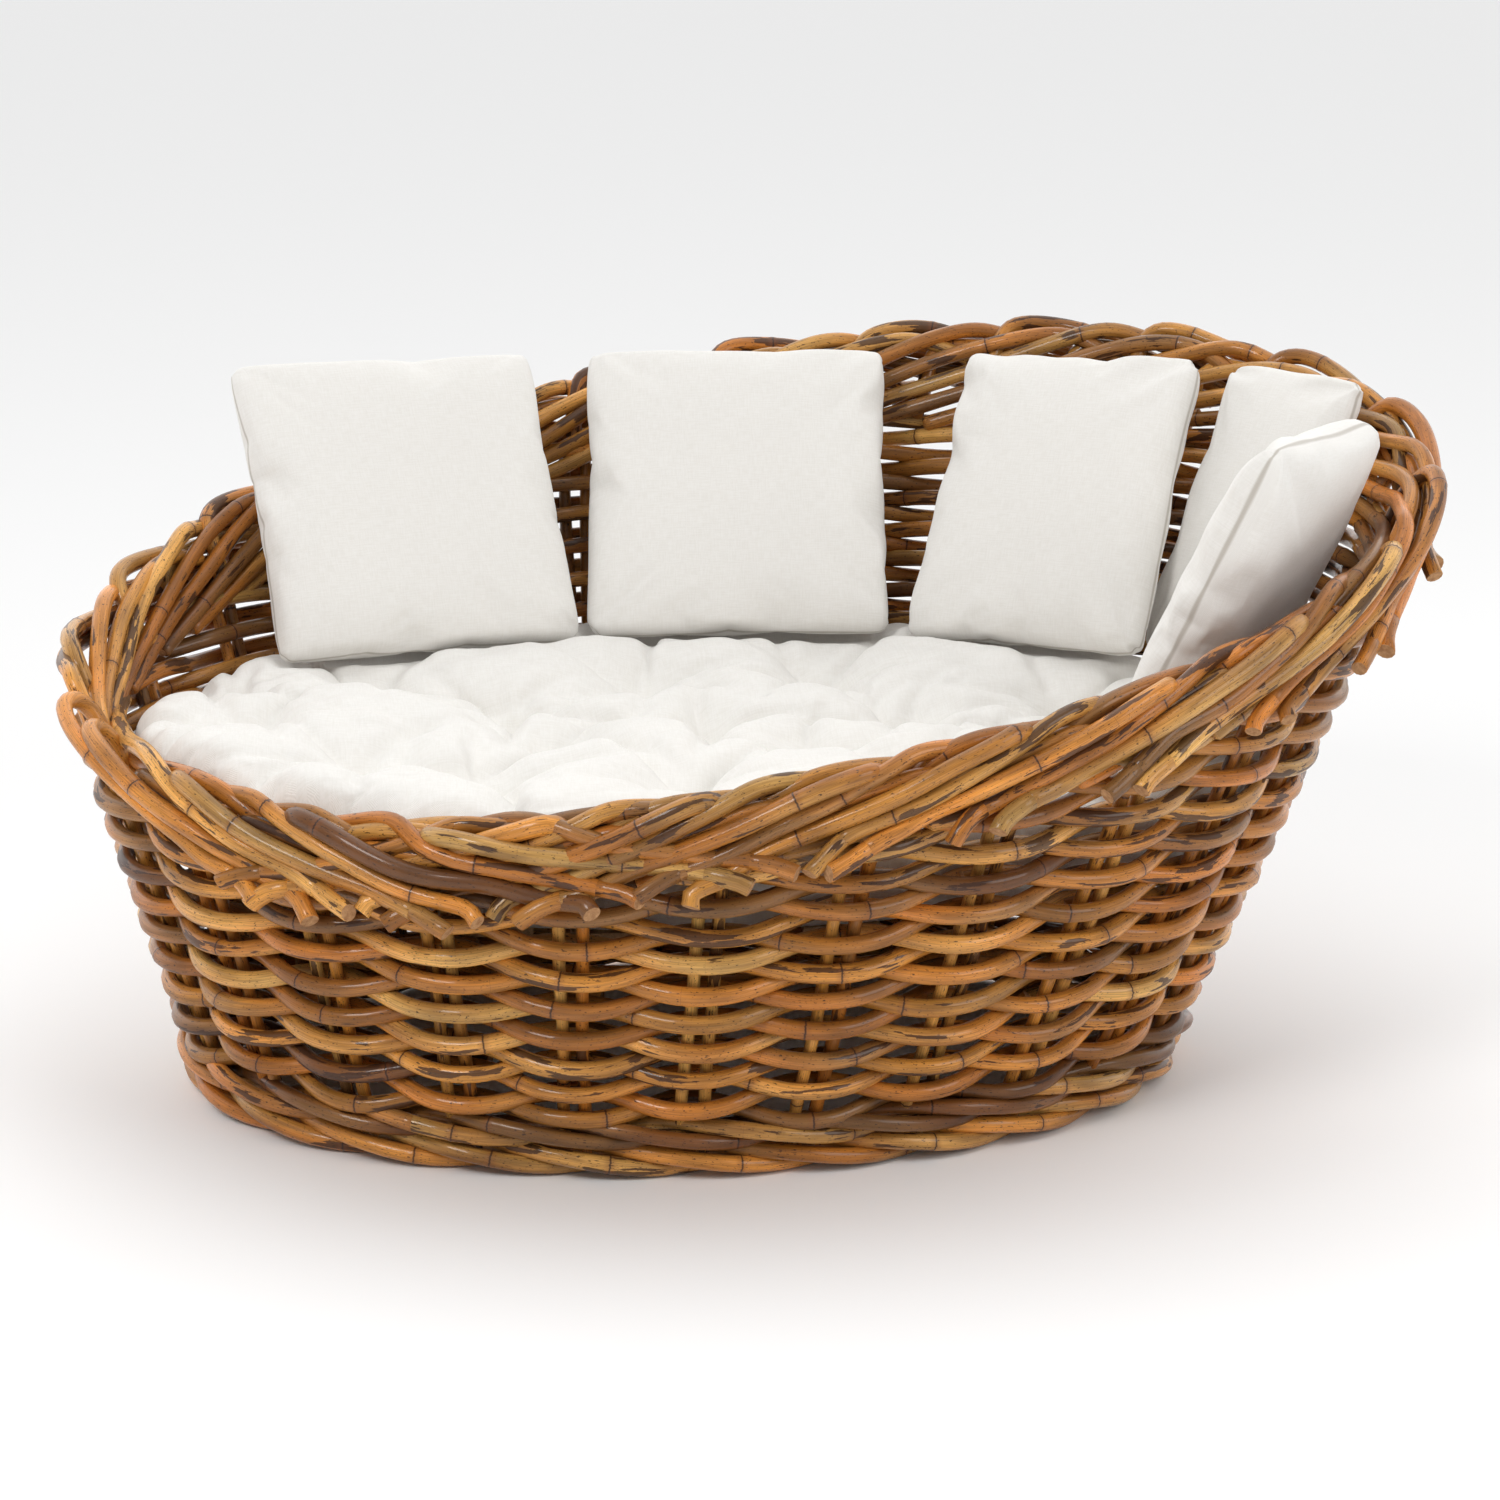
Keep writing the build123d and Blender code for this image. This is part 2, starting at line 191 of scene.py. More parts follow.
class Rods:
    """Gathers rods as tubes, and makes them into one object."""

    def __init__(self):
        self.verts, self.quads, self.caps = [], [], []
        self.rod, self.knot, self.tone = [], [], []
        self.count = 0

    def add(self, path, normals, radius, seed, ends=(True, True), sides=ROD_SIDES, tone=None):
        """A tube along path. normals are rough side directions; ends says which ends show a cut face."""
        r = np.random.default_rng(seed)
        along = run(path)
        knots = knots_along(along[-1], r)
        s = rings_along(along[-1], knots)
        rows, last = len(s), len(s) - 1
        p, n = (np.stack([np.interp(s, along, v[:, i]) for i in range(3)], -1) for v in (path, normals))
        t = unit(np.gradient(p, s, axis=0))
        b = unit(np.cross(t, n))
        n = np.cross(b, t)
        theta = np.arange(sides) * 2 * math.pi / sides
        cos, sin = np.cos(theta), np.sin(theta)
        near = np.array([min((x - knot for knot in knots), key=abs, default=NO_KNOT) for x in s])
        ridge = KNOT_RIDGE * np.exp(-((near / KNOT_WIDTH) ** 2))
        thick = radius * (1 + ROUGHNESS * waves(s, 3, 0.05, seed) + ridge)
        thick = thick[:, None] * (1 + OVAL * np.cos(2 * theta[None] + r.uniform(0, 6)))
        side = cos[None, :, None] * n[:, None] + sin[None, :, None] * b[:, None]
        ring = p[:, None] + thick[..., None] * side
        slant = [r.uniform(0.0, CUT_SLANT), r.uniform(0.0, CUT_SLANT)]
        turn = r.uniform(0, 6, 2)
        for end, (row, sign) in enumerate(((0, -1), (last, 1))):
            if ends[end]:
                shift = sign * radius * slant[end] * np.cos(theta - turn[end])
                ring[row] += shift[:, None] * t[row]
        start, offset = self.count, r.uniform(0, 50)
        rod = np.stack(np.broadcast_arrays((s + offset)[:, None], radius * cos, radius * sin), -1)
        tone = np.array([r.uniform(), r.uniform(), r.uniform(), 1.0]) if tone is None else tone
        self.verts.append(ring.reshape(-1, 3))
        self.rod.append(rod.reshape(-1, 3))
        self.knot.append(np.repeat(near, sides))
        i, j = np.arange(last)[:, None] * sides + start, np.arange(sides)[None]
        k = (j + 1) % sides
        self.quads.append(np.stack([i + j, i + k, i + k + sides, i + j + sides], -1).reshape(-1, 4))
        self.count += rows * sides
        for row, sign, shows in ((0, -1, ends[0]), (last, 1, ends[1])):
            self.close(ring[row], rod[row], t[row], start + row * sides, sign, shows)
        self.tone.append(np.tile(tone, (self.count - start, 1)))

    def close(self, edge, rod, tangent, base, sign, shows):
        """Closes one end of a tube, whose last ring starts at vertex base, with a bevel and a face."""
        sides = len(edge)
        bevel, lip = (CUT_BEVEL, CUT_LIP) if shows else (TIP_BEVEL, TIP_LIP)
        middle = edge.mean(0)
        face = middle + (edge - middle) * bevel + sign * tangent * lip
        grain = rod + (sign * CUT_LIP, 0, 0)
        grain[:, 1:] *= bevel
        self.verts.append(np.concatenate([face, [face.mean(0)]]))
        self.rod.append(np.concatenate([grain, [grain.mean(0)]]))
        self.knot.append(np.full(sides + 1, NO_KNOT))
        j, k = np.arange(sides), (np.arange(sides) + 1) % sides
        if sign < 0:
            j, k = k, j
        first = self.count
        self.quads.append(np.stack([base + j, base + k, first + k, first + j], -1))
        self.caps.append(np.stack([first + j, first + k, np.full(sides, first + sides)], -1))
        self.count += sides + 1

    def make(self, name):
        """One object of all the rods so far: bark on the tubes, end grain on the cut faces."""
        quads, caps = np.concatenate(self.quads), np.concatenate(self.caps)
        me = bpy.data.meshes.new(name)
        me.from_pydata(np.concatenate(self.verts).tolist(), [], quads.tolist() + caps.tolist())
        for material in (BARK, CUT):
            me.materials.append(material)
        is_cap = np.arange(len(quads) + len(caps)) >= len(quads)
        me.polygons.foreach_set("material_index", is_cap.astype(np.int32))
        me.polygons.foreach_set("use_smooth", ~is_cap)
        for key, kind, width, data in (
                ("rod", "FLOAT_VECTOR", "vector", self.rod), ("knot", "FLOAT", "value", self.knot),
                ("tone", "FLOAT_COLOR", "color", self.tone)):
            values = np.concatenate(data).astype(np.float32).ravel()
            me.attributes.new(key, kind, "POINT").data.foreach_set(width, values)
        me.update()
        ob = link(name, me)
        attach(ob, "basket")
        return ob


def wall_rod(rods, s, z, out, radius, seed, **more):
    """A rod through the wall: place along the oval, height and offset, point by point."""
    angle = angle_at(s)
    rods.add(wall(angle, z, out), outward(angle, z), radius, seed, **more)


# --- Materials ----------------------------------------------------------------------------------
class Nodes:
    """Short ways to add shader nodes."""

    def __init__(self, name):
        self.material = bpy.data.materials.new(name)
        self.material.use_nodes = True
        self.tree = self.material.node_tree
        self.shader = self.tree.nodes["Principled BSDF"]

    def new(self, kind, inputs=(), **props):
        node = self.tree.nodes.new("ShaderNode" + kind)
        for key, value in props.items():
            setattr(node, key, value)
        for key, value in dict(inputs).items():
            self.put(node.inputs[key], value)
        return node

    def put(self, socket, value):
        if isinstance(value, bpy.types.NodeSocket):
            self.tree.links.new(value, socket)
        else:
            socket.default_value = value

    def math(self, operation, a, b=0.0, clamp=False):
        node = self.new("Math", {0: a, 1: b}, operation=operation)
        node.use_clamp = clamp
        return node.outputs[0]

    def plus(self, a, b, clamp=False):
        return self.math("ADD", a, b, clamp)

    def minus(self, a, b):
        return self.math("SUBTRACT", a, b)

    def times(self, a, b):
        return self.math("MULTIPLY", a, b)

    def smooth(self, value, low, high, to_low=0.0, to_high=1.0):
        node = self.new("MapRange", {"Value": value, "From Min": low, "From Max": high,
                                     "To Min": to_low, "To Max": to_high}, interpolation_type="SMOOTHSTEP")
        return node.outputs["Result"]

    def scaled(self, vector, scale, shift=(0, 0, 0)):
        node = self.new("Mapping", {"Vector": vector, "Scale": scale, "Location": shift})
        return node.outputs[0]

    def noise(self, vector, scale, detail=2.0, rough=0.5, shift=(0, 0, 0)):
        node = self.new("TexNoise", {"Vector": self.scaled(vector, scale, shift), "Scale": 1.0,
                                     "Detail": detail, "Roughness": rough})
        return node.outputs["Fac"]

    def ramp(self, value, stops):
        node = self.new("ValToRGB", {"Fac": value})
        while len(node.color_ramp.elements) < len(stops):
            node.color_ramp.elements.new(0.5)
        for element, (place, colour) in zip(node.color_ramp.elements, stops):
            element.position = place
            element.color = colour
        return node.outputs["Color"]

    def mix(self, factor, a, b, blend="MIX"):
        node = self.new("Mix", data_type="RGBA", blend_type=blend)
        for socket, value in ((0, factor), (6, a), (7, b)):
            self.put(node.inputs[socket], value)
        return node.outputs[2]

    def grey(self, value):
        return self.new("CombineColor", {0: value, 1: value, 2: value}).outputs[0]

    def set(self, **values):
        for key, value in values.items():
            self.put(self.shader.inputs[key.replace("_", " ")], value)

    def bump(self, height, strength, distance):
        node = self.new("Bump", {"Height": height, "Strength": strength, "Distance": distance})
        self.put(self.shader.inputs["Normal"], node.outputs[0])


def srgb(r, g, b):
    """A linear opaque colour from sRGB numbers of 0 to 255."""
    return (*(((c / 255 + 0.055) / 1.055) ** 2.4 if c > 10 else c / 3294.6 for c in (r, g, b)), 1)


BARK_COLOURS = [
    (0.00, srgb(216, 160, 84)), (0.18, srgb(188, 128, 54)), (0.34, srgb(202, 130, 54)),
    (0.48, srgb(206, 160, 88)), (0.62, srgb(172, 108, 40)), (0.76, srgb(196, 120, 46)),
    (0.88, srgb(150, 106, 56)), (1.00, srgb(112, 68, 30))]


# The noise scales of bark and end grain are per metre: along the rod first, then across it.
def rattan(name, on_rods=True):
    """Varnished rattan bark. On rods the grain follows each rod; elsewhere it follows the object's axes."""
    n = Nodes(name)
    if on_rods:
        place = n.new("Attribute", attribute_name="rod").outputs["Vector"]
        tone = n.new("Attribute", attribute_name="tone").outputs["Color"]
        knot = n.new("Attribute", attribute_name="knot").outputs["Fac"]
    else:
        place = n.new("TexCoord").outputs["Object"]
        tone = n.new("CombineColor", {0: 0.3, 1: 0.5, 2: 0.5}).outputs[0]
        knot = None
    parts = n.new("SeparateColor", {0: tone})
    hue, dark, patchy = parts.outputs[0], parts.outputs[1], parts.outputs[2]
    fibre = n.noise(place, (26, 1500, 1500), 3.0, 0.6)
    cloud = n.noise(place, (14, 90, 90), 3.0, 0.55)
    drift = n.noise(place, (5, 20, 20), 1.0)
    pick = n.plus(hue, n.times(n.minus(drift, 0.5), 0.55), clamp=True)
    colour = n.ramp(pick, BARK_COLOURS)
    shade = n.times(n.smooth(cloud, 0.3, 0.72, 1.32, 0.6), n.smooth(dark, 0.0, 1.0, 1.2, 0.72))
    colour = n.mix(1.0, colour, n.grey(shade), "MULTIPLY")
    streak = n.smooth(fibre, 0.36, 0.66, 0.0, 1.0)
    colour = n.mix(n.times(streak, 0.42), colour, srgb(92, 52, 20))
    edge = n.noise(place, (70, 620, 620), 3.0, 0.65, (3, 1, 2))
    blot = n.noise(place, (20, 130, 130), 2.0, 0.5, (7, 2, 5))
    blot = n.plus(blot, n.times(n.minus(edge, 0.5), 0.22))
    limit = n.smooth(patchy, 0.0, 1.0, 0.76, 0.53)
    patch = n.smooth(n.minus(blot, limit), 0.0, 0.012)
    colour = n.mix(n.times(patch, 0.86), colour, srgb(58, 32, 18))
    speck = n.smooth(n.noise(place, (330, 900, 900), 1.0), 0.655, 0.70)
    colour = n.mix(n.times(speck, 0.8), colour, srgb(40, 26, 18))
    height = n.minus(n.times(fibre, 0.5), n.times(patch, 0.45))
    if knot is not None:
        wobble = n.times(n.minus(edge, 0.5), 0.0022)
        apart = n.math("ABSOLUTE", n.plus(knot, wobble))
        line = n.smooth(apart, 0.0003, 0.0011, 1.0, 0.0)
        halo = n.smooth(apart, 0.001, 0.006, 1.0, 0.0)
        colour = n.mix(n.times(halo, 0.35), colour, srgb(128, 74, 40))
        colour = n.mix(n.times(line, 0.85), colour, srgb(48, 28, 18))
        height = n.minus(height, n.times(line, 0.6))
    rough = n.smooth(cloud, 0.3, 0.7, 0.34, 0.52)
    rough = n.plus(rough, n.times(patch, 0.12))
    n.set(Base_Color=colour, Roughness=rough, Coat_Weight=0.4, Coat_Roughness=0.09, Specular_IOR_Level=0.25)
    n.bump(height, 0.6, 0.0007)
    return n.material


def cut_end(name):
    """Matte pale end grain with pores."""
    n = Nodes(name)
    place = n.new("Attribute", attribute_name="rod").outputs["Vector"]
    cells = n.new("TexVoronoi", {"Vector": n.scaled(place, (0, 1600, 1600)), "Scale": 1.0})
    cloud = n.noise(place, (40, 260, 260), 3.0)
    colour = n.ramp(cloud, [(0.3, srgb(150, 106, 70)), (0.7, srgb(190, 148, 106))])
    hole = n.smooth(cells.outputs["Distance"], 0.18, 0.32, 1.0, 0.0)
    colour = n.mix(n.times(hole, 0.55), colour, srgb(98, 64, 40))
    n.set(Base_Color=colour, Roughness=n.smooth(cloud, 0.3, 0.7, 0.75, 0.9), Specular_IOR_Level=0.2)
    n.bump(n.times(hole, -1.0), 0.4, 0.0004)
    return n.material


THREAD, COLUMN = 0.0011, 0.0075         # the twill's rib pitch and column width


def herringbone(name, colour):
    """Twill whose ribs change direction in columns, laid out by the attribute cloth, with a dark seam."""
    n = Nodes(name)
    place = n.new("Attribute", attribute_name="cloth").outputs["Vector"]
    split = n.new("SeparateXYZ", {0: place})
    x, y = split.outputs[0], split.outputs[1]
    ribs = n.math("PINGPONG", x, COLUMN)
    phase = n.math("DIVIDE", n.plus(ribs, y), THREAD)
    rib = n.math("SINE", n.times(phase, 2 * math.pi))
    rib = n.times(n.plus(rib, 1.0), 0.5)
    slub = n.noise(place, (900, 90, 90), 2.0)
    weft = n.noise(place, (90, 900, 90), shift=(4, 4, 0))
    threads = n.plus(n.times(slub, 0.5), n.times(weft, 0.5))
    cloud = n.noise(place, (9, 9, 9), 3.0)
    duller = (*(c * 0.985 for c in colour[:3]), 1)
    base = n.mix(n.smooth(cloud, 0.3, 0.7), duller, colour)
    shade = n.minus(1.0, n.times(n.minus(1.0, rib), 0.05))
    shade = n.times(shade, n.smooth(threads, 0.3, 0.7, 0.95, 1.02))
    tint = n.new("CombineColor", {0: shade, 1: n.math("POWER", shade, 1.12), 2: n.math("POWER", shade, 1.35)})
    base = n.mix(1.0, base, tint.outputs[0], "MULTIPLY")
    seam = n.new("Attribute", attribute_name="seam").outputs["Fac"]
    seam = n.smooth(seam, 0.0002, 0.0011, 1.0, 0.0)
    base = n.mix(n.times(seam, 0.55), base, srgb(150, 138, 122))
    n.set(Base_Color=base, Roughness=n.smooth(threads, 0.2, 0.8, 0.82, 0.95), Specular_IOR_Level=0.15,
          Sheen_Weight=0.25, Sheen_Roughness=0.5)
    n.bump(n.plus(n.times(rib, 0.6), n.times(threads, 0.7)), 0.35, 0.0005)
    return n.material


def slat_wood(name):
    """Plain wood with its grain along the slats."""
    n = Nodes(name)
    place = n.new("TexCoord").outputs["Object"]
    grain = n.noise(place, (260, 9, 260), 4.0, 0.6)
    cloud = n.noise(place, (6, 3, 6), 2.0)
    stops = [(0.3, srgb(170, 128, 84)), (0.55, srgb(196, 156, 108)), (0.75, srgb(150, 108, 68))]
    colour = n.ramp(grain, stops)
    colour = n.mix(n.smooth(cloud, 0.35, 0.65, 0.0, 0.3), colour, srgb(140, 98, 60))
    n.set(Base_Color=colour, Roughness=n.smooth(grain, 0.3, 0.7, 0.5, 0.7))
    n.bump(grain, 0.3, 0.0004)
    return n.material


BARK = rattan("rattan_bark")
CUT = cut_end("rattan_cut_end")
POLE = rattan("rattan_pole", on_rods=False)
SLAT = slat_wood("slat_wood")
COTTON = herringbone("cotton_herringbone", srgb(237, 235, 231))

# --- Weave --------------------------------------------------------------------------------------
WEAVE_RADIUS = 0.0072
WEAVE_OUT = 0.0128            # how far a rod swings to each side of the stakes
WEAVE_DIP = 0.0052            # how far it drops where it swings out
WEAVE_TOP = 0.050             # depth below the rim at which the courses stop
WEAVE_SEED = 1000
SAMPLE, WEAVE_STEP = 0.01, 0.02         # point spacings, in pair pitches
ROD_SPAN, SHORTEST = (7, 13), 5         # rod lengths, in pair pitches
LEAD = 0.12                   # how far a rod starts before its join
TUCK, TUCK_DEPTH = 0.42, 0.013          # the stretch at a join that goes inside, and how far


def drift(s, z):
    """Slow unevenness of the whole weave, the same for neighbouring rods."""
    turn = 2 * math.pi * s
    return 0.0022 * np.sin(turn / 7.3 + 9 * z) + 0.0016 * np.sin(turn / 4.1 - 21 * z + 1)


def inside_pair(s, sign):
    """The stake pair near s that a course passes on the inside."""
    return FIRST_PAIR + 2 * round((s - FIRST_PAIR) / 2) + (1 if sign > 0 else 0)


def course_ends(places, is_open):
    """Where a course starts and ends, given the places where it is below the border."""
    if is_open.all():
        first = 0.3 + RNG.uniform(0, PAIRS)
        return first, first + PAIRS
    closed = np.flatnonzero(~is_open)
    gaps = np.flatnonzero(np.diff(np.concatenate([closed, [closed[0] + len(places)]])) > 1)
    k = closed[gaps[-1]] if len(gaps) else closed[-1]
    first = places[(k + 1) % len(places)]
    return first, first + is_open.sum() * SAMPLE


def weave_rods(row):
    """One course as rods laid end to end, their ends tucked inside."""
    rods = Rods()
    z0 = FIRST_ROW + row * ROW_PITCH
    sign = 1 if row % 2 == 0 else -1
    places = np.arange(0, PAIRS, SAMPLE)
    line = wall(angle_at(places), z0 + 0 * places)
    is_open = z0 < rim_z(line, WEAVE_TOP + dip(angle_at(places)))
    whole = is_open.all()
    first, last = course_ends(places, is_open)
    joins, at = [], first + RNG.uniform(*ROD_SPAN)
    while at < last - SHORTEST:
        joins.append(inside_pair(at, sign))
        at = joins[-1] + RNG.uniform(*ROD_SPAN)
    if whole:
        first = inside_pair(first, sign)
        last = first + PAIRS
    for k, (a, b) in enumerate(zip([first] + joins, joins + [last])):
        tuck = TUCK if whole or k < len(joins) else 0.0
        s = np.arange(a - LEAD, b + tuck * 0.5, WEAVE_STEP)
        wave = np.cos(math.pi * (s - FIRST_PAIR))
        wave = wave * (1.12 - 0.12 * wave**2)
        seed = WEAVE_SEED + row * 17 + k
        out = sign * WEAVE_OUT * wave * (1 + 0.08 * waves(s, 3, 1.5, seed))
        if tuck:
            out = out - TUCK_DEPTH * np.clip((s - (b - tuck)) / tuck, 0, 1) ** 1.5
        z = z0 + drift(s, z0) - WEAVE_DIP * sign * wave + 0.0009 * waves(s, 3, 1.0, seed + 5)
        wall_rod(rods, s, z, out, WEAVE_RADIUS * RNG.uniform(0.93, 1.06), seed)
    name = f"weaver_{row + 1:02d}"
    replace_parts(rods.make("rattan_" + name), name)


for row in range(ROWS):
    weave_rods(row)

# --- Stakes -------------------------------------------------------------------------------------
STAKE_RADIUS = 0.0052
STAKE_SIDES = 10
STAKE_TOP = 0.06              # depth below the rim
STAKE_SEED = 5000
PAIR_SPREAD = 0.0165          # distance between a pair's two stakes


def stake_sides():
    """The stake pairs' places, by side of the basket."""
    sides = {side: [] for side in SIDES}
    places = sorted((k + FIRST_PAIR) % PAIRS for k in range(PAIRS))
    for k, s in enumerate(places):
        sides[SIDES[int(((k + PAIRS / 8) % PAIRS) / (PAIRS / 4))]].append(s)
    return sides


def stakes(side, places):
    """One side's stakes, in pairs that stand between the foot and the border."""
    rods = Rods()
    for s0 in places:
        for hand in (-1, 1):
            seed = int(STAKE_SEED + s0 * 40 + hand)
            r = np.random.default_rng(seed)
            z_top = float(rim(angle_at(np.array([s0])), np.array([STAKE_TOP]), 0.0)[0, 2])
            z = np.linspace(STAKE_FOOT, z_top, 60)
            angle = angle_at(s0 + 0 * z)
            away = outward(angle, z)
            shift = hand * PAIR_SPREAD / 2 + 0.0012 * waves(z, 3, 0.12, seed)
            line = wall(angle, z) + np.cross(away, (0, 0, 1)) * shift[:, None]
            line = line + away * (0.0009 * waves(z, 2, 0.1, seed + 3))[:, None]
            rods.add(line, away, STAKE_RADIUS * r.uniform(0.92, 1.08), seed, sides=STAKE_SIDES)
    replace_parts(rods.make(f"rattan_stakes_{side}"), f"stakes_{side}")


for side, places in stake_sides().items():
    stakes(side, places)

# --- Foot: two three-strand ropes round the bottom ------------------------------------------------
STRANDS, LENGTHS = 3, 2       # strands in a rope, rods in a strand
FOOT_SWING, FOOT_DROP, FOOT_OUT = 0.0125, 0.0072, 0.0035
FOOT_SEED = 8000
FOOT_ROPES = (  # piece, CAD nodes, centre height, strand radius
    ("rattan_foot_lower", ("foot_hoop",), 0.0145, 0.0068),
    ("rattan_foot_upper", ("foot_wale_1", "foot_wale_2"), 0.0375, 0.0066))


def foot_rope(number, name, nodes, z0, radius):
    """Strands that wind round each other, each laid of rods end to end."""
    rods = Rods()
    for strand in range(STRANDS):
        for part in range(LENGTHS):
            a = strand + part * PAIRS / LENGTHS + 1.3 * number
            s = np.arange(a, a + PAIRS / LENGTHS + 0.1, 0.02)
            phase = 2 * math.pi * (s + strand + 0.4 * number) / STRANDS
            seed = FOOT_SEED + 100 * number + 10 * strand + part
            out = FOOT_OUT + FOOT_SWING * np.cos(phase) * (1.1 - 0.1 * np.cos(phase) ** 2)
            z = z0 - FOOT_DROP * np.sin(phase) + 0.0004 * waves(s, 3, 2.0, seed)
            z = np.maximum(z, radius * 1.06 + 0.0002)
            wall_rod(rods, s, z, out, radius * RNG.uniform(0.96, 1.03), seed)
    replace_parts(rods.make(name), *nodes)


for number, rope in enumerate(FOOT_ROPES):
    foot_rope(number, *rope)

# --- Border -------------------------------------------------------------------------------------
MEET, PART = 15.9, 12.3       # where the plait's two directions meet and part, in pair pitches
CROSSING = 1.2                # reach of both, in pair pitches
CROSS_OVER, CROSS_UNDER = 7.0, -6.0     # there, one direction runs outside the other (mm)
BORDER_RADIUS = 0.0072
THINNER = 0.95
OUTER_SEED, INNER_SEED, SHORT_SEED, PART_SEED, UNDER_SEED = 9000, 9100, 9200, 9300, 9400
STUB = 0.036                  # length of a cut end, which is a piece of its own
# Place along the border from the rod's root (pair pitches), depth below the rim and offset (mm).
OUTER_RUN = [
    (0, 62, -4), (0, 42, -6), (-0.01, 20, -5), (0.01, 6, 0), (0.09, 0, 6), (0.28, 1, 12),
    (0.55, 9, 17), (0.85, 20, 19), (1.15, 30, 19), (1.4, 38, 18), (1.62, 45, 18), (1.82, 51, 21),
    (1.99, 56, 26), (2.14, 60, 33), (2.25, 64, 41)]
UNDER_RUN = [
    (0, 62, -4), (0, 40, -3), (0.02, 24, 0), (0.12, 16, 3), (0.35, 17, 5), (0.7, 24, 5),
    (1.05, 33, 5), (1.35, 41, 6), (1.6, 49, 7), (1.85, 56, 8), (2.05, 60, 8)]
INNER_RUN = [
    (-1.9, 64, -11), (-1.5, 55, -14), (-1.1, 43, -16), (-0.7, 30, -16), (-0.35, 17, -14), (0.0, 5, -10),
    (0.24, -1, -4), (0.42, 4, 4), (0.6, 12, 10), (0.8, 19, 14), (1.0, 26, 17), (1.25, 34, 18),
    (1.5, 42, 19), (1.73, 49, 23), (1.88, 54, 30), (1.99, 59, 39)]
INNER_SHORT = [
    (-1.8, 62, -11), (-1.4, 52, -14), (-1.0, 40, -16.5), (-0.6, 27, -16.5), (-0.25, 14, -14),
    (0.1, 5, -10), (0.4, 4, -4), (0.62, 12, -3), (0.8, 24, -3)]


def way(s):
    """Direction in which a rod rooted at s runs: 1 anticlockwise, -1 clockwise."""
    return 1 if PART < s < MEET else -1


def border_path(points, root, hand, seed):
    """A border rod's points and side directions."""
    r = np.random.default_rng(seed)
    points = np.array(points, float)
    wobble = r.normal(size=(len(points), 3)) * (0.02, 1.2, 0.7)
    wobble[-4:] *= 2.0
    u, depth, out = spline(points + wobble).T
    s = root + hand * u
    for middle in (MEET, PART):
        near = np.clip(1 - np.abs(s - middle) / CROSSING, 0, 1)
        near = near * near * (3 - 2 * near)
        lift = CROSS_OVER if hand > 0 else CROSS_UNDER
        out = out + near * lift * np.sign(out) * np.clip(np.abs(out) / 8, 0, 1)
    angle = angle_at(s)
    p = rim(angle, depth / 1000, out / 1000)
    return p, outward(angle, p[:, 2])


def border():
    """The plait: every stake's four rods, and two more where its directions part."""
    outer = {side: Rods() for side in SIDES}
    inner, ends = Rods(), Rods()
    home = {round(s, 3): side for side, places in stake_sides().items() for s in places}
    jobs = []                 # run, root, direction, object, seed, thickness, whether its cut end shows
    for k in range(PAIRS):
        root = (k + FIRST_PAIR) % PAIRS
        near = outer[home[round(root, 3)]]
        hand = way(root)
        jobs.append((OUTER_RUN, root, hand, near, OUTER_SEED + k, 1.0, True))
        jobs.append((UNDER_RUN, root + 0.5 * hand, hand, near, UNDER_SEED + k, THINNER, False))
        jobs.append((INNER_RUN, root + 0.5 * hand, hand, inner, INNER_SEED + k, THINNER, True))
        jobs.append((INNER_SHORT, root + 1.0 * hand, hand, inner, SHORT_SEED + k, THINNER, False))
    jobs.append((OUTER_RUN, PART + 0.05, 1, outer["left"], PART_SEED, 1.0, True))
    jobs.append((OUTER_RUN, PART - 0.1, -1, outer["left"], PART_SEED + 1, 1.0, True))
    for points, root, hand, group, seed, thick, shows in jobs:
        r = np.random.default_rng(seed + 7)
        p, n = border_path(points, root, hand, seed)
        radius = BORDER_RADIUS * thick * r.uniform(0.93, 1.06)
        tone = np.array([r.uniform(), r.uniform(), r.uniform(), 1.0])
        if shows:
            along = run(p)
            cut = np.searchsorted(along, along[-1] - STUB)
            ends.add(p[cut:], n[cut:], radius, seed + 11, ends=(False, True), tone=tone)
            p, n = p[:cut + 1], n[:cut + 1]
        group.add(p, n, radius, seed + 11, ends=(False, False), tone=tone)
    pieces = {side: outer[side].make(f"rattan_border_{side}") for side in SIDES}
    for number, side in enumerate(("right", "back", "left"), 1):       # the CAD has three nodes
        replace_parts(pieces[side], f"border_rods_{number}")
    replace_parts(inner.make("rattan_border_inner"))     # no CAD node of its own
    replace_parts(ends.make("rattan_border_ends"), "border_ends")


border()

# --- Seat: the CAD's own shapes -------------------------------------------------------------------
for name, material in (("seat_hoop", POLE), ("seat_bearers", POLE), ("seat_slats", SLAT)):
    slots = frame["nodes"][name].data.materials
    slots.clear()
    slots.append(material)

# --- Pillows --------------------------------------------------------------------------------------
PILLOWS = {  # facing angle, lean, roll (degrees), width, height, thickness, as in the CAD
    1: (-19, 34, -2, 0.272, 0.272, 0.068), 2: (4, 34, 0, 0.268, 0.272, 0.068),
    3: (36, 33, 4, 0.224, 0.272, 0.062), 4: (64, 24, 4, 0.166, 0.262, 0.039),
    5: (124, 24, 5, 0.244, 0.262, 0.066)}
PILLOW_GRID = 61
CORNER_CUT = 0.004            # how much a corner is rounded off
DRAWN_IN = 0.012              # how far the sides are drawn in, as a share of the size
SEAM_HALF, CROWN_CUT = 0.002, 0.006     # half thickness beside the seam, and room left for inflation
LUMPS = 0.0022
CORNER_PIN = 0.009            # the cloth is held this near a corner


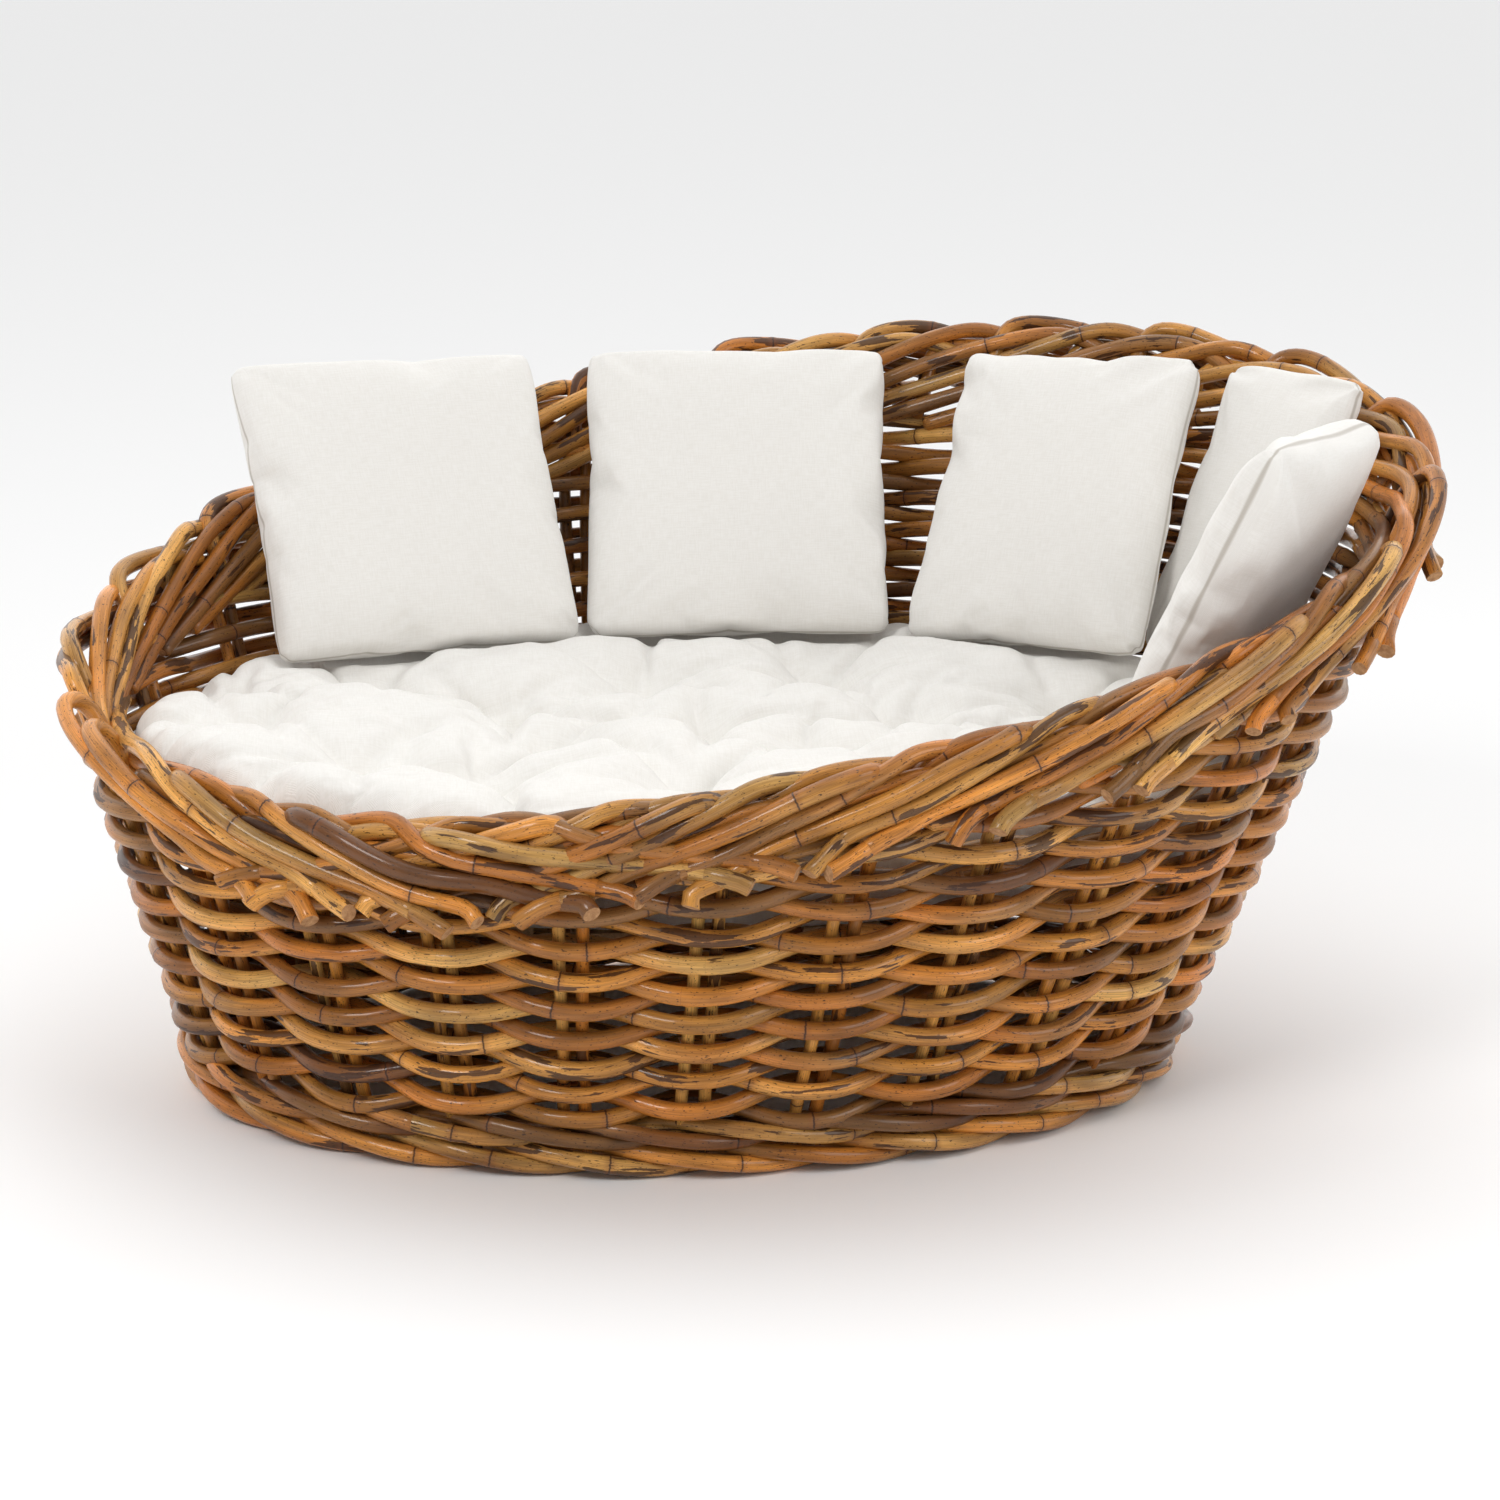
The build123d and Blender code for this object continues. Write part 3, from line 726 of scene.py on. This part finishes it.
def pillow_frame(number):
    """A pillow's directions across, up and through, and its centre, from its angles and its CAD box."""
    turn, lean, roll = (math.radians(a) for a in PILLOWS[number][:3])
    away = np.array([math.sin(turn), math.cos(turn), 0])
    level = np.array([math.cos(turn), -math.sin(turn), 0])
    slope = away * math.sin(lean) + np.array([0, 0, math.cos(lean)])
    across = level * math.cos(roll) + slope * math.sin(roll)
    upward = slope * math.cos(roll) - level * math.sin(roll)
    lo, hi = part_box(f"pillow_{number}_cover")
    return across, upward, np.cross(upward, across), np.array((lo + hi) / 2)


def pillow(number):
    """A square cover before it is inflated: crowned faces that meet in a seam. Also its corner pins."""
    width, height, thick = PILLOWS[number][3:]
    count = PILLOW_GRID
    t = np.linspace(-1, 1, count)
    u, v = np.meshgrid(t, t, indexing="ij")
    x, y = u * width / 2, v * height / 2
    corner = CORNER_CUT * np.abs(u * v) ** 10
    x, y = x - np.sign(u) * corner, y - np.sign(v) * corner
    x = x * (1 - DRAWN_IN * (0.6 + waves(v, 3, 1.0, number + 40) * 0.5) * (1 - v**4))
    y = y * (1 - DRAWN_IN * (0.6 + waves(u, 3, 1.0, number + 60) * 0.5) * (1 - u**4))
    crown = ((1 - u**4) * (1 - v**4)) ** 0.5
    half = SEAM_HALF + (thick / 2 - CROWN_CUT) * crown
    lumps = LUMPS * waves(u + 0.6 * v, 4, 0.5, number)
    half += lumps * waves(v - 0.4 * u, 4, 0.6, number + 20) * (crown > 0.2)
    edge = np.maximum(np.abs(u), np.abs(v)) == 1
    half[edge] = 0
    front = np.arange(count * count).reshape(count, count)
    back = np.where(edge, front, front + count * count)
    faces = []
    for i in range(count - 1):
        for j in range(count - 1):
            faces.append([front[i, j], front[i, j + 1], front[i + 1, j + 1], front[i + 1, j]])
            faces.append([back[i, j], back[i + 1, j], back[i + 1, j + 1], back[i, j + 1]])
    faces = np.array(faces)
    verts = np.concatenate([np.stack([x, y, side * half], -1).reshape(-1, 3) for side in (-1, 1)])
    cloth = np.concatenate([np.stack([x, y, side * 0.3 + 0 * u], -1).reshape(-1, 3) for side in (-1, 1)])
    used = np.unique(faces)
    order = -np.ones(len(verts), int)
    order[used] = np.arange(len(used))
    ob = cloth_object(f"pillow_{number}", verts[used], order[faces].tolist(), cloth[used])
    to_seam = np.minimum(1 - np.abs(u), 1 - np.abs(v)).ravel() * width / 2
    set_seam(ob, np.tile(to_seam, 2)[used])
    far = np.hypot(width / 2 - np.abs(verts[used, 0]), height / 2 - np.abs(verts[used, 1]))
    return ob, np.where(far < CORNER_PIN, 1.0, 0.0)


def place_pillow(ob, number):
    """Puts a finished pillow where its CAD solid is, and keeps its thickness."""
    width, height, thick = PILLOWS[number][3:]
    across, upward, through, centre = pillow_frame(number)
    co = points_of(ob)
    co[:, :2] *= np.minimum(1, (width, height) / (2 * np.abs(co[:, :2]).max(0)))
    limit = thick / 2 + 0.003
    z = co[:, 2]
    co[:, 2] = np.sign(z) * limit * np.tanh(np.abs(z) / limit * 1.15)
    set_points(ob, centre + co @ np.stack([across, upward, through]))
    finish_cloth(ob, f"pillow_{number}")
    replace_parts(ob, f"pillow_{number}_cover", f"pillow_{number}_filling")


# --- Mattress -------------------------------------------------------------------------------------
TUFTS = [  # places on the top, from its centre
    (-0.425, 0.055), (-0.405, -0.045), (-0.315, -0.150), (-0.215, -0.185), (-0.300, 0.075),
    (-0.195, 0.015), (-0.165, -0.085), (-0.075, 0.090), (-0.035, -0.030), (0.040, -0.125),
    (0.130, -0.035), (0.075, 0.095), (-0.060, -0.220), (0.270, 0.000), (0.240, -0.110), (0.125, -0.195)]
TUFT_DEPTH, TUFT_WIDTH = 0.030, 0.024
TUFT_PIN = 0.009              # the cloth is held this near a tuft
CREASE_DEPTH, CREASE_REACH = 0.011, 0.040
FOLDS = ((0.8, 0.6, 0.10), (-0.5, 0.86, 0.08), (0.97, -0.2, 0.13))     # direction and spacing
FOLD_DEPTH = 0.006
GATHERS, GATHER_DEPTH = 19, 0.016
LEFT_LIFT, FRONT_LIFT = 0.020, 0.008    # the pad lies higher at its left and front edges
RINGS, SIDE_RINGS, SPOKES = 40, 12, 120
SIDE_START = 0.93             # where the top turns into the side, as a share of the half axes
VOXEL = 0.0068
PUFF = 0.028                  # how far the filling pushes the cover out


def oval_pad(half):
    """Vertices and faces of a closed oval pad: rings from near the middle out, top then bottom."""
    side = 1 - SIDE_START
    q = np.concatenate([np.linspace(0.03, SIDE_START, RINGS - SIDE_RINGS),
                        SIDE_START + side * np.sin(np.linspace(0.1, math.pi / 2, SIDE_RINGS))])
    a = np.arange(SPOKES) * 2 * math.pi / SPOKES
    fall = np.clip(1 - np.clip((q - SIDE_START) / side, 0, 1) ** 2, 0, 1) ** 0.5
    x, y = q[:, None] * half[0] * np.cos(a), q[:, None] * half[1] * np.sin(a)
    sheets = [np.stack([x, y, up * half[2] * fall[:, None] + 0 * x], -1).reshape(-1, 3) for up in (1, -1)]
    verts = np.concatenate(sheets + [np.array([[0, 0, half[2]], [0, 0, -half[2]]])])
    count = RINGS * SPOKES
    faces = []
    for sheet in (0, 1):
        base = sheet * count
        turn = 1 if sheet == 0 else -1
        for i in range(RINGS - 1):
            inner, outer = base + i * SPOKES, base + (i + 1) * SPOKES
            for j in range(SPOKES):
                k = (j + 1) % SPOKES
                faces.append([inner + j, outer + j, outer + k, inner + k][::turn])
        for j in range(SPOKES):
            faces.append([2 * count + sheet, base + j, base + (j + 1) % SPOKES][::turn])
    same = np.arange(2 * count + 2)
    same[2 * count - SPOKES:2 * count] = np.arange(count - SPOKES, count)      # both sheets share an edge
    used = np.unique(same)
    order = -np.ones(2 * count + 2, int)
    order[used] = np.arange(len(used))
    return verts[used], [[int(order[same[v]]) for v in face] for face in faces]


def tuft(co, step, far, top):
    """Dimples at the tufts, with creases that fan out from each."""
    co[:, 2] -= TUFT_DEPTH * np.exp(-((far.min(1) / TUFT_WIDTH) ** 1.05)) * top
    r = np.random.default_rng(5)
    for k in range(len(TUFTS)):
        turn = np.arctan2(step[:, k, 1], step[:, k, 0])
        crease = np.abs(np.sin(turn * r.integers(4, 7) / 2 + r.uniform(0, 6) + 6 * far[:, k]))
        reach = far[:, k] / CREASE_REACH
        co[:, 2] -= top * CREASE_DEPTH * (1 - crease) ** 4 * reach * np.exp(1 - reach)


def fold(co, top):
    """Lumps, and folds that run across the whole top here and there."""
    co[:, 2] += top * 0.003 * waves(co[:, 0] + 0.4 * co[:, 1], 4, 0.05, 3) * waves(co[:, 1], 4, 0.06, 4)
    for k, (cx, cy, size) in enumerate(FOLDS):
        bend = waves(co[:, 0] * cy - co[:, 1] * cx, 3, 0.11, 30 + k)
        ridge = np.abs(np.sin(math.pi * (co[:, 0] * cx + co[:, 1] * cy) / size + bend))
        here = np.clip(0.5 + 0.6 * waves(co[:, 0] + co[:, 1], 3, 0.12, 40 + k), 0, 1)
        co[:, 2] -= top * FOLD_DEPTH * (1 - ridge) ** 3 * here


def gather(co, centre, half):
    """Draws the side in and out, where the cloth is gathered at the edge."""
    flat = (co[:, :2] - centre[:2]) / half[:2]
    turn = np.arctan2(flat[:, 1], flat[:, 0])
    edge = np.clip((np.linalg.norm(flat, axis=1) - 0.86) / 0.14, 0, 1)
    pull = (1 - np.abs(np.sin(GATHERS * turn + 2.0 * waves(turn, 3, 0.7, 50)))) ** 2
    co[:, :2] = centre[:2] + (co[:, :2] - centre[:2]) * (1 - GATHER_DEPTH * pull * edge)[:, None]


def mattress():
    """The pad before it is inflated: an oval with a dimple at each tuft. Also its pins."""
    lo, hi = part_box("mattress_cover")
    centre = np.array((lo + hi) / 2)
    half = np.array((hi - lo) / 2) + (0.002, 0.002, -0.004)
    verts, faces = oval_pad(half)
    ob = cloth_object("mattress", centre + verts, faces, verts)
    remesh = ob.modifiers.new("remesh", "REMESH")
    remesh.mode, remesh.voxel_size, remesh.use_smooth_shade = "VOXEL", VOXEL, True
    bake(ob)
    co = points_of(ob)
    top = np.clip((co[:, 2] - centre[2]) / 0.02, 0, 1)
    step = co[:, None, :2] - np.array(TUFTS)[None]
    far = np.hypot(step[..., 0], step[..., 1])
    tuft(co, step, far, top)
    fold(co, top)
    gather(co, centre, half)
    left = np.clip((-0.20 - co[:, 0]) / 0.24, 0, 1)
    co[:, 2] += top * LEFT_LIFT * left * left * (3 - 2 * left)
    co[:, 2] += top * FRONT_LIFT * np.clip((-0.12 - co[:, 1]) / 0.12, 0, 1)
    set_points(ob, co)
    set_cloth(ob, co - centre)
    set_seam(ob, np.full(len(co), 1))                  # no seam in sight
    pins = np.where((far.min(1) < TUFT_PIN) & (top > 0.5), 1.0, 0.0)
    return ob, np.maximum(pins, np.clip((centre[2] - 0.02 - co[:, 2]) / 0.02, 0, 1))


# --- Cloth ----------------------------------------------------------------------------------------
PILLOW_PRESSURE, PILLOW_SHRINK = 2.6, -0.045
PAD_PRESSURE, PAD_SHRINK = 3.5, -0.10
CLOTH_FRAMES = 20
WALL_GAP = 0.0265             # room between the mattress and the stakes' line
PILLOW_GAP = 0.007            # room between the mattress and a pillow's drawn shape
PRESS, PRESSES = 0.008, 40    # the pad is pressed down by so much at a time
PRESS_FLOOR = 0.24            # only above this height


def points_of(ob):
    co = np.zeros(len(ob.data.vertices) * 3)
    ob.data.vertices.foreach_get("co", co)
    return co.reshape(-1, 3)


def set_points(ob, co):
    ob.data.vertices.foreach_set("co", np.asarray(co, float).ravel())
    ob.data.update()


def set_cloth(ob, place):
    """Stores where each point lies in the weave."""
    a = ob.data.attributes.get("cloth") or ob.data.attributes.new("cloth", "FLOAT_VECTOR", "POINT")
    a.data.foreach_set("vector", np.asarray(place, np.float32).ravel())


def set_seam(ob, distance):
    """Stores each point's distance to the nearest seam."""
    a = ob.data.attributes.new("seam", "FLOAT", "POINT")
    a.data.foreach_set("value", np.asarray(distance, np.float32))


def bake(ob):
    """Applies the piece's modifiers to its mesh."""
    bpy.context.view_layer.update()
    dg = bpy.context.evaluated_depsgraph_get()
    me = bpy.data.meshes.new_from_object(ob.evaluated_get(dg), preserve_all_data_layers=True, depsgraph=dg)
    ob.modifiers.clear()
    ob.data = me


def add_cloth(ob, pressure, shrink, pins):
    """A cloth under inner pressure, without gravity, held where pins is above 0."""
    mod = ob.modifiers.new("cloth", "CLOTH")
    c = mod.settings
    c.quality, c.mass = 6, 0.25
    c.tension_stiffness = c.compression_stiffness = 12.0
    c.shear_stiffness, c.bending_stiffness = 4.0, 0.4
    c.use_pressure, c.uniform_pressure_force = True, pressure
    c.shrink_min = shrink
    c.effector_weights.gravity = 0.0
    mod.collision_settings.use_collision = False
    mod.point_cache.frame_start, mod.point_cache.frame_end = 1, 40
    group = ob.vertex_groups.new(name="pins")
    pins = np.round(pins, 1)
    for weight in np.unique(pins[pins > 0]):
        group.add(np.flatnonzero(pins == weight).tolist(), float(weight), "REPLACE")
    c.vertex_group_mass = "pins"


def cloth_object(name, verts, faces, cloth):
    me = bpy.data.meshes.new(name)
    me.from_pydata(verts.tolist(), [], faces)
    me.materials.append(COTTON)
    ob = link(name, me)
    set_cloth(ob, cloth)
    return ob


def finish_cloth(ob, body):
    """One subdivision, smooth shading, and the piece rides on its body."""
    mod = ob.modifiers.new("fine", "SUBSURF")
    mod.levels = mod.render_levels = 1
    bake(ob)
    ob.data.polygons.foreach_set("use_smooth", np.ones(len(ob.data.polygons), bool))
    ob.data.update()
    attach(ob, body)


def inside_wall(co, gap):
    """Pulls points in until they are a gap inward of the stakes' line."""
    z = co[:, 2]
    middle = np.stack([LEAN_X * z + BASE_CENTRE[0], BASE_CENTRE[1] + 0 * z], -1)
    half = np.stack([BASE_HALF[0] + FLARE[0] * z - gap, BASE_HALF[1] + FLARE[1] * z - gap], -1)
    reach = np.linalg.norm((co[:, :2] - middle) / half, axis=1, keepdims=True)
    co[:, :2] = middle + (co[:, :2] - middle) / np.maximum(reach, 1)
    return co


def clear_of_pillows(co):
    """Presses points down until they are a gap away from every pillow's crowned shape."""
    for number in PILLOWS:
        across, upward, through, centre = pillow_frame(number)
        half = np.array(PILLOWS[number][3:]) / 2
        for _ in range(PRESSES):
            a, b, c = np.abs((co - centre) @ np.stack([across, upward, through], -1)).T / half[:, None]
            crown = (np.clip(1 - a**6, 0, 1) * np.clip(1 - b**6, 0, 1)) ** 0.4
            deep = PILLOW_GAP + half[2] * (crown - c)
            under = (a < 1.03) & (b < 1.03) & (co[:, 2] > PRESS_FLOOR)
            co[:, 2] -= np.clip(deep, 0, PRESS) * under
    return co


def inflate(pillows, pad, pins):
    """Runs the cloth simulation and applies it to the meshes."""
    for ob, corners in pillows.values():
        add_cloth(ob, PILLOW_PRESSURE, PILLOW_SHRINK, corners)
    add_cloth(pad, PAD_PRESSURE, PAD_SHRINK, pins)
    scene = bpy.context.scene
    for f in range(1, CLOTH_FRAMES + 1):
        scene.frame_set(f)
    for ob in [ob for ob, _ in pillows.values()] + [pad]:
        bake(ob)
        ob.vertex_groups.clear()
    scene.frame_set(1)


def soft_goods():
    """Makes the pillows and the mattress, inflates them and puts them in place."""
    pillows = {number: pillow(number) for number in PILLOWS}
    pad, pins = mattress()
    rest = points_of(pad)
    inflate(pillows, pad, pins)
    moved = points_of(pad) - rest
    far = np.linalg.norm(moved, axis=1, keepdims=True)
    moved *= PUFF * np.tanh(far / PUFF) / np.maximum(far, 1e-9)
    rest = rest + moved
    set_points(pad, clear_of_pillows(inside_wall(rest, WALL_GAP)))
    finish_cloth(pad, "mattress")
    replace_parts(pad, "mattress_cover", "mattress_filling")
    for number, (ob, _) in pillows.items():
        place_pillow(ob, number)


soft_goods()

# --- Stage, light and camera ----------------------------------------------------------------------
FLOOR_HALF, FLOOR_Z = 40, -0.0005
BACKDROP = (-0.3, 0.5)        # from the room to the backdrop, along the world's Y
ROOM_LIGHT, BACKDROP_LIGHT = 0.36, 1.5
LAMPS = (  # name, place, size, watts
    ("key", (-2.0, -2.6, 3.0), 1.2, 58), ("fill", (2.6, -2.4, 2.0), 1.8, 36),
    ("top", (0.4, -0.6, 3.4), 1.8, 12))
LAMP_TARGET = Vector((0, 0, 0.25))
CAMERA_PLACE = (-0.296, -3.220, 1.183)
CAMERA_DOWN, CAMERA_TURN = 15.93, -5.33     # degrees
LENS, SENSOR = 97.97, 36


def floor():
    n = Nodes("floor_pale")
    n.set(Base_Color=(0.93, 0.93, 0.93, 1), Roughness=0.9, Specular_IOR_Level=0.1)
    h = FLOOR_HALF
    me = bpy.data.meshes.new("floor")
    me.from_pydata([(x, y, FLOOR_Z) for x, y in ((-h, -h), (h, -h), (h, h), (-h, h))], [], [(0, 1, 2, 3)])
    me.materials.append(n.material)
    link("floor", me)


def world():
    """A bright backdrop, and a dimmer room in front of it."""
    scene = bpy.context.scene
    scene.world = scene.world or bpy.data.worlds.new("studio")
    scene.world.use_nodes = True
    tree = scene.world.node_tree
    background = tree.nodes["Background"]
    background.inputs[0].default_value = (1, 1, 1, 1)
    where, split = tree.nodes.new("ShaderNodeTexCoord"), tree.nodes.new("ShaderNodeSeparateXYZ")
    level = tree.nodes.new("ShaderNodeMapRange")
    level.interpolation_type = "SMOOTHSTEP"
    for socket, value in enumerate((*BACKDROP, ROOM_LIGHT, BACKDROP_LIGHT), 1):
        level.inputs[socket].default_value = value
    tree.links.new(where.outputs["Generated"], split.inputs[0])
    tree.links.new(split.outputs["Y"], level.inputs[0])
    tree.links.new(level.outputs[0], background.inputs[1])


def lamps():
    for name, place, size, power in LAMPS:
        lamp = bpy.data.lights.new(name, "AREA")
        lamp.size, lamp.energy = size, power
        ob = link(name, lamp)
        ob.location = place
        ob.rotation_euler = (LAMP_TARGET - Vector(place)).to_track_quat("-Z", "Y").to_euler()


def camera():
    cam = bpy.data.cameras.new("camera")
    cam.lens, cam.sensor_width = LENS, SENSOR
    cam.clip_end = 100
    ob = link("camera", cam)
    ob.location = CAMERA_PLACE
    ob.rotation_euler = (math.radians(90 - CAMERA_DOWN), 0, math.radians(CAMERA_TURN))
    bpy.context.scene.camera = ob
    bpy.context.scene.view_settings.view_transform = "Standard"


floor()
world()
lamps()
camera()
